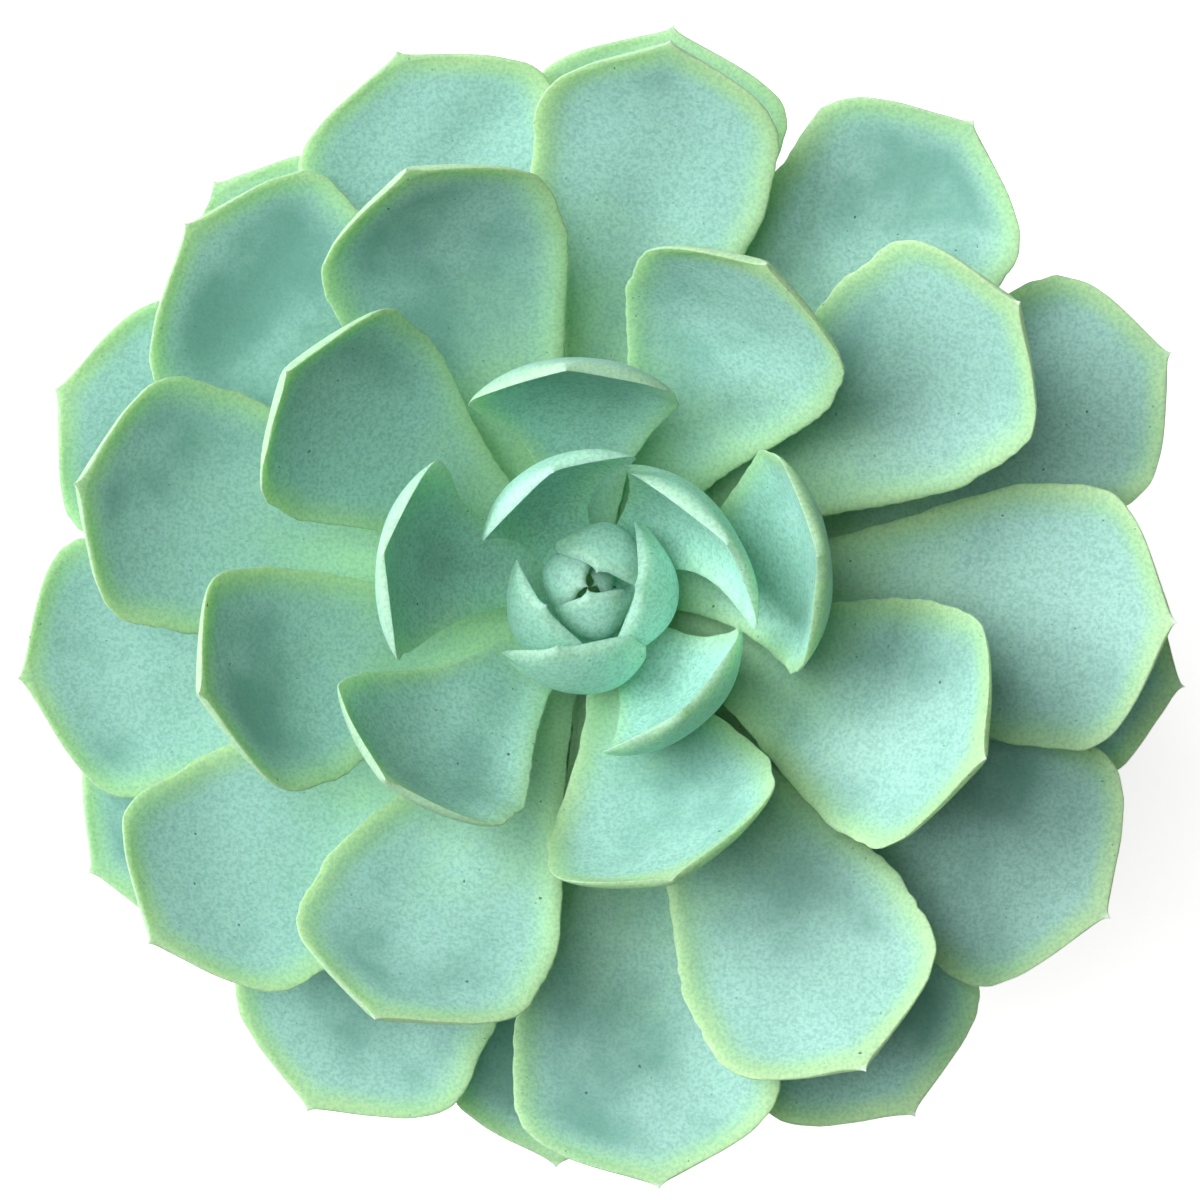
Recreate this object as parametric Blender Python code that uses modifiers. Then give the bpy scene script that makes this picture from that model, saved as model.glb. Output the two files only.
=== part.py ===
"""A rosette succulent of the echeveria kind, growing in a plain turned clay pot.

The plant stands on the pot's axis, +Z up, with the origin at the middle of the pot's flat foot.
Young leaves sit at the top of the stem and old leaves at the bottom. Each leaf is turned a fixed
angle from the one before it, which gives the spiral of the rosette.
"""
import math

import bmesh
import bpy
import numpy as np

MM = 0.001

# Pot, in metres: a turned wall with a rim band, a floor and a drain hole
POT_HEIGHT = 74 * MM
POT_RIM_RADIUS = 48 * MM
POT_RIM_BAND = 15 * MM
POT_SHOULDER_RADIUS = 44.5 * MM
POT_FOOT_RADIUS = 32 * MM
POT_WALL = 5 * MM
POT_FLOOR = 6 * MM
DRAIN_RADIUS = 6 * MM
POT_EDGE = 1 * MM
ROUND_STEPS = 48

# Gap between pieces that touch
GAP = 0.3 * MM

# Soil: fills the pot to a little below its rim
SOIL_BELOW_RIM = 8 * MM
SOIL_CROWN = 1.5 * MM

# Stem: rises from the soil to the growing tip
TIP_HEIGHT = 105.3 * MM
PLANT_X = -2.3 * MM
PLANT_Y = 1.6 * MM
STEM_ROOT_DEPTH = 18 * MM
STEM_STEPS = 24
STEM_CLEARANCE = 0.95 * MM
STEM_TIP_RADIUS = 0.25 * MM
STEM_TIP_DEPTH = 0.8 * MM
STEM_BEVEL = 1 * MM
LEAVES_PER_STEM_RING = 3

# Rosette: how each leaf follows the one before it
FIRST_TURN = 10.6
TURN_PER_LEAF = 138.0
DROP_PER_LEAF = 0.60 * MM
DROP_SLOWING = 0.0008 * MM
TIP_RADIUS = 1.2 * MM
RADIUS_PER_YOUNG_LEAF = 0.14 * MM
RADIUS_PER_OLD_LEAF = 0.05 * MM
OLD_FROM = 30

# Leaf form: thickness (mm), neck width and place of the shoulder change with age; the rest is
# the same for every leaf, with places along it from 0 at the base to 1 at the tip
THICKNESS_AGES = (0, 5, 8, 14, 22)
THICKNESS = (1.1, 1.9, 2.5, 4.4, 5.8)
NECK_AGES = (5, 8, 14, 22)
NECK = (0.32, 0.25, 0.19, 0.16)
SHOULDER_AGES = (8, 14, 20)
SHOULDER = (0.84, 0.79, 0.77)
NECK_THICKNESS = 0.42
THICK_FROM = 0.5
THIN_FROM = 0.55
THIN_POWER = 1.6
TIP_THINNING = 0.72
FLARE = 1.12
FLARE_POWER = 1.6
SHOULDER_SHARPNESS = 8
FULL_WIDTH = 0.97
ARCH_POWER = 2.6
UPPER_SHARE = 0.25
CUP_FROM_NECK = 0.35
MARGIN_DRAW = 0.25
SWEEP_POWER = 3
CURL_FROM = 0.7
BASE_CAP = 0.25 * MM
MUCRO = 0.9 * MM
MUCRO_LIFT = 0.2 * MM
RING_POINTS = 12
RING_PLACES = (0.0, 0.12, 0.28, 0.45, 0.60, 0.72, 0.82, 0.90, 0.955, 0.988)

# One row a leaf, youngest first: turn beyond the spiral's own (degrees), reach of the tip from the
# stem's axis (mm), width (mm), lean of the base-to-tip line above level (degrees), bow of the
# midrib below that line (share of its length), cup of the margins above the midrib (share of the
# half width), curl of the tip (mm) and sideways sweep of the tip (mm)
LEAVES = (
    (20, 0.9, 4.5, 94, 0.30, 0.30, 0, 0),
    (4.7, 0.93, 10.6, 93.1, 0.52, 0.43, 0, 0),
    (-1, 0.85, 10.7, 94, 0.48, 0.42, 0, -0.3),
    (0, 2.6, 14.2, 84.5, 0.50, 0.46, 0, 0),
    (17, 5.8, 17, 73, 0.43, 0.44, 0, -1.6),
    (8.7, 5.8, 19.5, 71.7, 0.46, 0.46, 0, 1.3),
    (1, 14.0, 22.5, 62, 0.22, 0.38, 0, -3),
    (19.9, 6.9, 18.4, 73.1, 0.43, 0.34, 0, -4.6),
    (5, 15.8, 26, 59, 0.24, 0.32, 0, -6.5),
    (-2, 24.5, 26, 52, 0.18, 0.30, 0.5, 0),
    (0, 20.5, 25, 50, 0.21, 0.30, 3, -1),
    (3, 26.4, 27, 50, 0.20, 0.28, 1.5, 2),
    (3, 33.0, 28, 42, 0.14, 0.24, 1, -3.5),
    (3, 29.0, 30, 46, 0.18, 0.26, 3, 0),
    (2, 44.0, 30, 35, 0.10, 0.22, 2, 0),
    (10, 36.6, 32, 35, 0.09, 0.22, 2, -3),
    (0, 43.8, 31, 34, 0.10, 0.22, 2, 2),
    (1, 48.0, 30, 31, 0.09, 0.20, 2, -2),
    (2, 51.4, 33, 27, 0.08, 0.20, 2, 0),
    (1, 54.2, 32, 27, 0.09, 0.18, 2, 0),
    (-4, 57.4, 33, 23, 0.08, 0.16, 2, -3),
    (4, 61.6, 32, 21, 0.07, 0.16, 2, 1),
    (2, 62.8, 33, 20, 0.07, 0.16, 2, 0),
    (-4, 66.6, 33, 18, 0.07, 0.16, 1.5, -1),
    (-1, 66.4, 32, 17, 0.07, 0.15, 1.5, 0),
    (0, 68.2, 33, 16, 0.07, 0.16, 1.5, -2),
    (-2, 71.0, 35, 14, 0.07, 0.14, 1.5, 0),
    (4, 66.0, 36, 14, 0.06, 0.14, 1.5, -3),
    (2, 73.5, 35, 12, 0.06, 0.14, 1, 0),
    (-2, 73.8, 33, 11, 0.06, 0.14, 1, 0),
    (0, 71.0, 35, 10, 0.06, 0.14, 1, -2),
    (-1, 75.6, 36, 9, 0.06, 0.14, 1, 0),
    (4, 70.3, 36, 9, 0.06, 0.14, 1, -1),
    (-3, 73.5, 34, 8, 0.06, 0.12, 1, 0),
    (-2, 77.5, 32, 8, 0.05, 0.12, 1, 2),
    (-1, 71.0, 34, 7, 0.05, 0.12, 1, 0),
    (3, 77.2, 34, 6, 0.05, 0.12, 1, 0),
    (5, 71.0, 34, 6, 0.05, 0.12, 1, 0),
    (-5, 72.2, 32, 5, 0.05, 0.12, 1, 0),
    (-2, 75.6, 31, 4, 0.05, 0.12, 1, 0),
    (2, 69.8, 30, 3.4, 0.05, 0.12, 1, 0),
    (-2, 73.4, 31, 2, 0.05, 0.12, 1, 0),
    (-14, 66.0, 27, 1, 0.05, 0.12, 1, 0),
)


def clear_scene():
    for thing in list(bpy.data.objects):
        bpy.data.objects.remove(thing, do_unlink=True)


def make_collection(name):
    group = bpy.data.collections.new(name)
    bpy.context.scene.collection.children.link(group)
    return group


def make_material(name, color, roughness):
    material = bpy.data.materials.new(name)
    material.use_nodes = True
    shader = material.node_tree.nodes["Principled BSDF"]
    shader.inputs["Base Color"].default_value = (*color, 1.0)
    shader.inputs["Roughness"].default_value = roughness
    shader.inputs["Metallic"].default_value = 0.0
    return material


def add_object(name, mesh, material, group):
    mesh.materials.append(material)
    thing = bpy.data.objects.new(name, mesh)
    group.objects.link(thing)
    return thing


def turn_profile(name, profile, steps, material, group):
    """Turn a closed or axis-to-axis profile of (radius, height) about Z with a Screw modifier."""
    mesh = bpy.data.meshes.new(name)
    points = [(radius, 0.0, height) for radius, height in profile]
    on_axis = profile[0][0] == 0.0 and profile[-1][0] == 0.0
    edges = [(i, i + 1) for i in range(len(points) - 1)]
    if not on_axis:
        edges.append((len(points) - 1, 0))
    mesh.from_pydata(points, edges, [])
    thing = add_object(name, mesh, material, group)
    screw = thing.modifiers.new("turn", "SCREW")
    screw.axis = "Z"
    screw.steps = steps
    screw.render_steps = steps
    screw.use_merge_vertices = True
    screw.merge_threshold = 0.00001
    screw.use_smooth_shade = True
    return thing


def inner_radius(height):
    """Radius of the pot's inner wall at a height above its floor."""
    run = (height - POT_FLOOR) / (POT_HEIGHT - POT_FLOOR)
    low = POT_FOOT_RADIUS - POT_WALL
    high = POT_RIM_RADIUS - POT_WALL
    return low + (high - low) * run


def build_pot(material, group):
    """Wall, rim band and pierced floor as one turned ring."""
    band_foot = POT_HEIGHT - POT_RIM_BAND
    outside = (
        (POT_RIM_RADIUS - POT_EDGE, POT_HEIGHT),
        (POT_RIM_RADIUS, POT_HEIGHT - POT_EDGE),
        (POT_RIM_RADIUS - POT_EDGE / 2, band_foot + POT_EDGE),
        (POT_RIM_RADIUS - POT_EDGE * 1.5, band_foot),
        (POT_SHOULDER_RADIUS, band_foot - POT_EDGE / 2),
        (POT_FOOT_RADIUS + POT_EDGE / 4, POT_EDGE),
        (POT_FOOT_RADIUS - POT_EDGE, 0.0),
    )
    inside = (
        (DRAIN_RADIUS + POT_EDGE, 0.0),
        (DRAIN_RADIUS, POT_EDGE),
        (DRAIN_RADIUS, POT_FLOOR),
        (inner_radius(POT_FLOOR), POT_FLOOR),
        (inner_radius(POT_HEIGHT - POT_EDGE), POT_HEIGHT - POT_EDGE),
        (inner_radius(POT_HEIGHT) + POT_EDGE, POT_HEIGHT),
    )
    return turn_profile("pot", outside + inside, ROUND_STEPS, material, group)


def leaf_base(age):
    """Radius and height at which a leaf leaves the stem, measured from the growing tip."""
    young = min(age, OLD_FROM)
    old = max(age - OLD_FROM, 0)
    radius = TIP_RADIUS + RADIUS_PER_YOUNG_LEAF * young + RADIUS_PER_OLD_LEAF * old
    height = -DROP_PER_LEAF * age + DROP_SLOWING * age * age
    return radius, height


def build_stem(material, group):
    """A tapering stem whose side stays just inside the leaf bases, with a blunt tip."""
    top = TIP_HEIGHT - STEM_TIP_DEPTH
    profile = [(0.0, top), (STEM_TIP_RADIUS, top - STEM_TIP_RADIUS / 2)]
    for age in range(2, len(LEAVES) + 1, LEAVES_PER_STEM_RING):
        radius, height = leaf_base(age)
        profile.append((max(radius - STEM_CLEARANCE, STEM_TIP_RADIUS * 1.2), TIP_HEIGHT + height))
    root_radius = profile[-1][0]
    root_height = POT_HEIGHT - SOIL_BELOW_RIM - STEM_ROOT_DEPTH
    profile.append((root_radius, root_height + STEM_BEVEL))
    profile.append((root_radius - STEM_BEVEL, root_height))
    profile.append((0.0, root_height))
    stem = turn_profile("stem", tuple(profile), STEM_STEPS, material, group)
    stem.location = (PLANT_X, PLANT_Y, 0.0)
    return stem, root_radius, root_height


def build_soil(root_radius, root_height, material, group, cutters):
    """A turned body that fills the pot, crowned towards the middle, with a socket for the stem."""
    top = POT_HEIGHT - SOIL_BELOW_RIM
    low = POT_FLOOR + GAP
    profile = (
        (0.0, top + SOIL_CROWN),
        (inner_radius(top) * 0.5, top + SOIL_CROWN * 0.75),
        (inner_radius(top) - GAP, top),
        (inner_radius(low) - GAP, low),
        (0.0, low),
    )
    soil = turn_profile("soil", profile, ROUND_STEPS, material, group)
    depth = SOIL_CROWN + STEM_ROOT_DEPTH + GAP
    bpy.ops.mesh.primitive_cylinder_add(vertices=STEM_STEPS, radius=root_radius + GAP, depth=depth * 2)
    socket = bpy.context.object
    socket.name = "stem_socket"
    socket.location = (PLANT_X, PLANT_Y, root_height - GAP + depth)
    socket.hide_render = True
    socket.display_type = "WIRE"
    for owner in list(socket.users_collection):
        owner.objects.unlink(socket)
    cutters.objects.link(socket)
    cut = soil.modifiers.new("socket", "BOOLEAN")
    cut.operation = "DIFFERENCE"
    cut.solver = "EXACT"
    cut.object = socket
    return soil


def leaf_width(places, neck, shoulder):
    """Share of the full half width along the leaf: a narrow neck, a broad shoulder, a pointed arch."""
    flare = neck + (FLARE - neck) * (places / shoulder) ** FLARE_POWER
    body = (flare**-SHOULDER_SHARPNESS + 1.0) ** (-1 / SHOULDER_SHARPNESS)
    arch = np.clip((places - shoulder) / (1 - shoulder), 0, 1) ** ARCH_POWER
    return body * (1 - arch) / FULL_WIDTH


def leaf_thickness(places):
    """Share of the full thickness: thin at the neck, full in the middle, thin again at the tip."""
    swell = np.clip(places / THICK_FROM, 0, 1)
    body = NECK_THICKNESS + (1 - NECK_THICKNESS) * swell**2 * (3 - 2 * swell)
    fade = np.clip((places - THIN_FROM) / (1 - THIN_FROM), 0, 1) ** THIN_POWER
    return body * (1 - TIP_THINNING * fade)


def leaf_midrib(places, start, end, bow, curl):
    """A quadratic curve from start to end in the leaf's upright plane, with its end lifted."""
    chord = end - start
    below = np.array((chord[1], -chord[0]))
    control = start + chord * 0.5 + below * 2 * bow
    above = -below / np.linalg.norm(below)
    lift = np.clip((places - CURL_FROM) / (1 - CURL_FROM), 0, 1)
    points = (1 - places) ** 2 * start + 2 * places * (1 - places) * control + places**2 * end
    points = points + above * curl * lift**2
    along = 2 * (1 - places) * (control - start) + 2 * places * (end - control)
    along = along + above * curl * 2 * lift / (1 - CURL_FROM)
    return points, along / np.linalg.norm(along, axis=1, keepdims=True), end + above * curl


def leaf_points(age, row):
    """Rings of points around the midrib, then the base point and the tip point."""
    turn, reach, width, lean, bow, cup, curl, sweep = row
    width, reach, curl, sweep = width * MM, reach * MM, curl * MM, sweep * MM
    places = np.array(RING_PLACES)[:, None]
    base_radius, base_height = leaf_base(age)
    start = np.array((base_radius, base_height))
    rise = (reach - base_radius) * math.tan(math.radians(lean))
    middle, along, tip = leaf_midrib(places, start, start + (reach - base_radius, rise), bow, curl)
    normal = np.stack((-along[:, 1], along[:, 0]), axis=1)

    neck = np.interp(age, NECK_AGES, NECK)
    shoulder = np.interp(age, SHOULDER_AGES, SHOULDER)
    thickness = np.interp(age, THICKNESS_AGES, THICKNESS) * MM * leaf_thickness(places)
    half = 0.5 * width * leaf_width(places, neck, shoulder)
    angle = 2 * math.pi * np.arange(RING_POINTS) / RING_POINTS
    across, up = np.cos(angle)[None, :], np.sin(angle)[None, :]
    skin = np.where(up > 0, UPPER_SHARE, 1 - UPPER_SHARE) * up * thickness
    lift = cup * half * across**2 * np.clip(places / CUP_FROM_NECK, 0, 1)
    side = across * half * (1 - MARGIN_DRAW * cup * across**2) + sweep * places**SWEEP_POWER

    radial = middle[:, :1] + (skin + lift) * normal[:, :1]
    height = middle[:, 1:] + (skin + lift) * normal[:, 1:]
    base = middle[0] - along[0] * BASE_CAP
    tip = tip + along[-1] * MUCRO + normal[-1] * MUCRO_LIFT
    radial = np.concatenate((radial.ravel(), (base[0], tip[0])))
    height = np.concatenate((height.ravel(), (base[1], tip[1])))
    side = np.concatenate((side.ravel(), (0.0, sweep)))

    heading = math.radians(FIRST_TURN + TURN_PER_LEAF * age + turn)
    x = PLANT_X + radial * math.cos(heading) - side * math.sin(heading)
    y = PLANT_Y + radial * math.sin(heading) + side * math.cos(heading)
    return np.stack((x, y, TIP_HEIGHT + height), axis=1)


def leaf_faces():
    """Quads between neighbouring rings and a fan of triangles at each end."""
    faces = []
    rings = len(RING_PLACES)
    base, tip = rings * RING_POINTS, rings * RING_POINTS + 1
    for point in range(RING_POINTS):
        after = (point + 1) % RING_POINTS
        faces.append((base, after, point))
        last = (rings - 1) * RING_POINTS
        faces.append((tip, last + point, last + after))
        for ring in range(rings - 1):
            low, high = ring * RING_POINTS, (ring + 1) * RING_POINTS
            faces.append((low + point, low + after, high + after, high + point))
    return faces


def build_leaf(age, row, material, group):
    """A loft of unlike sections along a bowed midrib, in one closed skin."""
    name = f"leaf_{age + 1:02d}"
    mesh = bpy.data.meshes.new(name)
    mesh.from_pydata(leaf_points(age, row).tolist(), [], leaf_faces())
    shell = bmesh.new()
    shell.from_mesh(mesh)
    bmesh.ops.recalc_face_normals(shell, faces=shell.faces)
    bmesh.ops.triangulate(shell, faces=shell.faces)
    shell.to_mesh(mesh)
    shell.free()
    mesh.shade_smooth()
    return add_object(name, mesh, material, group)


def main():
    clear_scene()
    parts = make_collection("potted_succulent")
    cutters = make_collection("cutters")
    clay = make_material("clay", (0.55, 0.24, 0.13), 0.85)
    earth = make_material("earth", (0.05, 0.035, 0.025), 0.95)
    bark = make_material("bark", (0.25, 0.22, 0.13), 0.8)
    leaf = make_material("leaf", (0.42, 0.66, 0.52), 0.55)
    build_pot(clay, parts)
    stem, root_radius, root_height = build_stem(bark, parts)
    build_soil(root_radius, root_height, earth, parts, cutters)
    for age, row in enumerate(LEAVES):
        build_leaf(age, row, leaf, parts)


main()
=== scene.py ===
# %% [markdown]
# # A rosette succulent in a clay pot
# The real plant is a short stem that makes one thick leaf after another, each turned by the same
# angle, so the leaves stand in spirals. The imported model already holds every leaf, the stem, the
# soil and the pot as closed solids at their real size. This lesson grows a fine skin on each of
# them with whole-array arithmetic and then gives every skin a finish made of nodes.

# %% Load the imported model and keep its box
import math

import bmesh
import bpy
import numpy as np
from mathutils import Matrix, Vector


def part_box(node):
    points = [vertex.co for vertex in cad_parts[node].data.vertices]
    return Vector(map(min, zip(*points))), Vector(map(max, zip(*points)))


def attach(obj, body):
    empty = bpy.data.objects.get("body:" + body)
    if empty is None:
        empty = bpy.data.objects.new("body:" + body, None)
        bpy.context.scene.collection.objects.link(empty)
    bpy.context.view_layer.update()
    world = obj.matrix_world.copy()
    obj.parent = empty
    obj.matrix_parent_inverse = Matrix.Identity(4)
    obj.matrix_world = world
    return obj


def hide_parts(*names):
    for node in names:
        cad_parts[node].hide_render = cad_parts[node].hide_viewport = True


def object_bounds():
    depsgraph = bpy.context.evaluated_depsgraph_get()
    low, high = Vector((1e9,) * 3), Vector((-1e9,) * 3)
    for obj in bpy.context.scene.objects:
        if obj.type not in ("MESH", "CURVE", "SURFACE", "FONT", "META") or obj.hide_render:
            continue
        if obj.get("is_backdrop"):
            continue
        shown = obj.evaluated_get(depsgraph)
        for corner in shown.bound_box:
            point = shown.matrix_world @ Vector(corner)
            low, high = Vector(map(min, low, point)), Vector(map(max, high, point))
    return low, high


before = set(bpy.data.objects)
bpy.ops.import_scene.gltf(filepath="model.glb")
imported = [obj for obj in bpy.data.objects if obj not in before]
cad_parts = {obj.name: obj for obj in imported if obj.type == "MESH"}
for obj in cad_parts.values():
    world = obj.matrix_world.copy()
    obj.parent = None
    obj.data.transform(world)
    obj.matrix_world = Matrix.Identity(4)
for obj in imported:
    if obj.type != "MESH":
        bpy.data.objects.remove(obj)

MM = 0.001
cad_low, cad_high = (list(corner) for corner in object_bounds())
leaf_names = sorted(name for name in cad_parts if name.startswith("leaf_"))
box_mm = [round((high - low) / MM, 1) for low, high in zip(cad_low, cad_high)]
print(f"{len(leaf_names)} leaves in a box of {box_mm} mm")

# %% Find the plant's axis and growing tip
stem_low, stem_high = (np.array(corner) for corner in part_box("stem"))
plant_axis = np.array(((stem_low[0] + stem_high[0]) / 2, (stem_low[1] + stem_high[1]) / 2, 0.0))
STEM_TIP_DEPTH = 0.8 * MM
growing_tip = stem_high[2] + STEM_TIP_DEPTH
print("the plant's axis stands at", (plant_axis[:2] / MM).round(2), "mm")
print("its growing tip is", round(growing_tip / MM, 1), "mm up")

# %% [markdown]
# ## Meshes from grids
# Every skin here is a grid of points that closes on itself around one direction. Its ends are
# single points, or the grid closes in the other direction too, as on the pot. Blender needs only
# the list of points and the list of quads, and both come from index arrays.

# %% A closed skin from a grid of points
def closed_skin(name, grid, first=None, last=None):
    """Quads between neighbours of a (rows, columns, 3) grid whose columns close into a ring.

    With a first and last point the two ends close in fans of triangles. Without them the last
    row joins the first, as on a ring. Row by column by outward is a right-handed order.
    """
    rows, columns = grid.shape[:2]
    number = np.arange(rows * columns).reshape(rows, columns)
    if first is None:
        number = np.vstack((number, number[:1]))
    after = np.roll(number, -1, axis=1)
    quads = np.stack((number[:-1], after[:-1], after[1:], number[1:]), axis=-1).reshape(-1, 4)
    points, faces = grid.reshape(-1, 3), quads.tolist()
    if first is not None:
        points = np.vstack((points, first, last))
        start = np.full(columns, rows * columns)
        faces += np.stack((start, after[0], number[0]), axis=-1).tolist()
        faces += np.stack((start + 1, number[-1], after[-1]), axis=-1).tolist()
    mesh = bpy.data.meshes.new(name)
    mesh.from_pydata(points.tolist(), [], faces)
    mesh.shade_smooth()
    piece = bpy.data.objects.new(name, mesh)
    bpy.context.scene.collection.objects.link(piece)
    return piece


# %% Values stored on the points, for the finishes to read
def store(piece, **values):
    """Each keyword is an array with one number a point, kept as a named attribute of the mesh."""
    for name, numbers in values.items():
        layer = piece.data.attributes.new(name, "FLOAT", "POINT")
        layer.data.foreach_set("value", np.asarray(numbers, np.float32).ravel())


# %% The volume inside a skin, positive when its faces point outwards
CM3_PER_M3 = 1e6


def volume_cm3(piece):
    """Sum over triangles of the corner triple product, a sixth of which is the volume inside."""
    piece.data.calc_loop_triangles()
    points = np.empty(len(piece.data.vertices) * 3, np.float32)
    piece.data.vertices.foreach_get("co", points)
    corners = np.empty(len(piece.data.loop_triangles) * 3, np.int32)
    piece.data.loop_triangles.foreach_get("vertices", corners)
    a, b, c = points.reshape(-1, 3)[corners.reshape(-1, 3)].transpose(1, 0, 2).astype(float)
    return float((a * np.cross(b, c)).sum() / 6 * CM3_PER_M3)


# %% [markdown]
# ## What a packed leaf says
# A packed leaf is a coarse cage of ten rings of twelve points, though a ring may lack one. From
# each ring the lesson reads four things: the midrib's place, half the width as a vector, the
# thickness as a vector, and the cup, which is how far the margins stand above the midrib. Smooth
# curves through these ten readings describe the leaf at any place along it, so the fine skin
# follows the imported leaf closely. Only its shoulder is rounder, and its tip a little fuller.

# %% Read a cage: its points and which are joined
SAME_POINT = 0.001 * MM


def cage(node):
    """Places and links of a leaf's cage points, from a merged copy of its loose triangles."""
    shell = bmesh.new()
    shell.from_mesh(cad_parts[node].data)
    bmesh.ops.remove_doubles(shell, verts=shell.verts, dist=SAME_POINT)
    merged = bpy.data.meshes.new("cage")
    shell.to_mesh(merged)
    shell.free()
    points = np.empty(len(merged.vertices) * 3, np.float32)
    merged.vertices.foreach_get("co", points)
    ends = np.empty(len(merged.edges) * 2, np.int32)
    merged.edges.foreach_get("vertices", ends)
    bpy.data.meshes.remove(merged)
    linked = np.zeros((len(points) // 3,) * 2, bool)
    linked[tuple(ends.reshape(-1, 2).T)] = True
    return points.reshape(-1, 3).astype(float), linked | linked.T


# %% Sort a cage into rings, from base to tip
RING_COUNT = 10


def leaf_rings(points, linked):
    """Four points of each ring in the leaf's own axes (out, sideways, up), then base and tip.

    The two ends are the points with the most links, the tip being the one further out and up.
    Steps along links from the base number the rings. In each ring the four are the right and
    left margin and the two points nearest the midrib, one above the leaf and one below.
    """
    ends = np.argsort(linked.sum(axis=0))[-2:]
    outward_and_up = np.hypot(*(points[ends] - plant_axis)[:, :2].T) + points[ends, 2]
    base, tip = ends[np.argsort(outward_and_up)]
    out = points[base] - plant_axis
    heading = math.atan2(out[1], out[0])
    cosine, sine = math.cos(heading), math.sin(heading)
    axes = np.array(((cosine, sine, 0), (-sine, cosine, 0), (0, 0, 1)))
    local = (points - plant_axis) @ axes.T
    steps = np.full(len(points), -1)
    wave = np.arange(len(points)) == base
    for step in range(RING_COUNT + 2):
        steps[wave & (steps < 0)] = step
        wave = linked @ wave
    steps[tip] = -1
    fours = []
    for step in range(1, RING_COUNT + 1):
        ring = local[steps == step]
        ring = ring[np.argsort(ring[:, 1])]
        from_middle = np.abs(ring[:, 1] - (ring[0, 1] + ring[-1, 1]) / 2)
        fours.append(np.vstack((ring[0], ring[-1], ring[np.argsort(from_middle)[:2]])))
    return np.array(fours), local[base], local[tip], axes


# %% Four readings from each ring
CAGE_UPPER_SHARE = 0.25


def read_rings(rings):
    """Midrib, half width, thickness and cup of each ring, as vectors in the leaf's own axes."""
    right, left, pair = rings[:, 0], rings[:, 1], rings[:, 2:]
    along = np.gradient(rings.mean(axis=1), axis=0)
    above = np.stack((-along[:, 2], 0 * along[:, 1], along[:, 0]), axis=1)
    first_is_upper = ((pair[:, 0] - pair[:, 1]) * above).sum(axis=1, keepdims=True) > 0
    upper = np.where(first_is_upper, pair[:, 0], pair[:, 1])
    lower = np.where(first_is_upper, pair[:, 1], pair[:, 0])
    midrib = upper * (1 - CAGE_UPPER_SHARE) + lower * CAGE_UPPER_SHARE
    return midrib, (left - right) / 2, upper - lower, (left + right) / 2 - midrib


# %% A smooth curve through readings
def smooth_curve(stations, values, places):
    """Natural cubic spline: each stretch is a cubic, and slope and bend agree where two meet."""
    gaps = np.diff(stations)
    slopes = np.diff(values, axis=0) / gaps[:, None]
    count = len(stations)
    system = np.eye(count)
    inner = np.arange(1, count - 1)
    system[inner, inner - 1], system[inner, inner + 1] = gaps[:-1], gaps[1:]
    system[inner, inner] = 2 * (gaps[:-1] + gaps[1:])
    right = np.zeros_like(values)
    right[1:-1] = 6 * np.diff(slopes, axis=0)
    bends = np.linalg.solve(system, right)
    cell = np.clip(np.searchsorted(stations, places) - 1, 0, count - 2)
    run, gap = (places - stations[cell])[:, None], gaps[cell][:, None]
    slope = slopes[cell] - gap * (2 * bends[cell] + bends[cell + 1]) / 6
    growth = (bends[cell + 1] - bends[cell]) / (6 * gap)
    return values[cell] + slope * run + bends[cell] / 2 * run**2 + growth * run**3


# %% [markdown]
# ## The fine leaf
# A real leaf of this plant is a spoon of water tissue: nearly flat and a little dished above,
# rounded below with a soft keel, its margin drawn out to a blunt ridge, its end a short spine.
# Nothing on it is quite regular, so each leaf also drifts a little by smooth random waves.
# The section is a formula in the angle around it, so the skin is one array for each leaf.

# %% Gentle unevenness
def drift(rng, along, across, waves, slowest, fastest):
    """Sum of cosines with random directions and phases over (along, across), about -1 to 1."""
    total = np.zeros(np.broadcast(along, across).shape)
    for _ in range(waves):
        pace = rng.uniform(slowest, fastest)
        turn, phase = rng.uniform(0, math.tau), rng.uniform(0, math.tau)
        forward = along * math.cos(turn) + across * math.sin(turn)
        total += np.cos(math.tau * pace * forward + phase)
    return total / math.sqrt(waves)


# %% Where the rows of a leaf's grid lie
ROWS_ALONG = 84
COLUMNS_AROUND = 72
ROWS_CLOSER_TO_TIP = 1.35
row_share = 1 - (1 - np.linspace(0, 1, ROWS_ALONG + 1)[:-1]) ** ROWS_CLOSER_TO_TIP
angle = math.tau * np.arange(COLUMNS_AROUND) / COLUMNS_AROUND
across, outward = np.cos(angle)[None, :], np.sin(angle)[None, :]
is_upper = outward > 0

# %% The leaf's form in numbers
SPINE_NARROWING = 1.9
SPINE_THINNING = 1.2
SHOULDER_FROM, SHOULDER_TO = 0.70, 0.99
SHOULDER_ROUNDING = 0.050
TIP_FULLNESS = 0.30
DISH = 2.5
KEEL = 0.10
LIP_WIDTH = 1.3 * MM
LIP_RISE = 0.035
LIP_NEEDS_WIDTH = 3 * MM
MARGIN_WAVE, MARGIN_WAVE_LENGTH = 0.012, 20 * MM
MARGIN_NICKS, NICK_LENGTH = 0.10 * MM, 4 * MM
FACE_WAVE, FACE_WAVE_LENGTH, FACE_WAVE_FROM = 0.055, 16 * MM, 0.2
CUP_FLUTTER, FLUTTER_LENGTH = 0.12, 26 * MM
BASE_CAP_DEPTHS = np.array((0.85, 0.5))


# %% Values in the order of a leaf's points
def in_point_order(field, at_base, at_tip):
    """Rows of the two cap rings, rows of the grid, then the base point and the tip point."""
    rows = np.vstack((np.repeat(field[:1], len(BASE_CAP_DEPTHS), axis=0), field))
    return np.concatenate((rows[:, ::-1].ravel(), (at_base, at_tip)))


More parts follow.
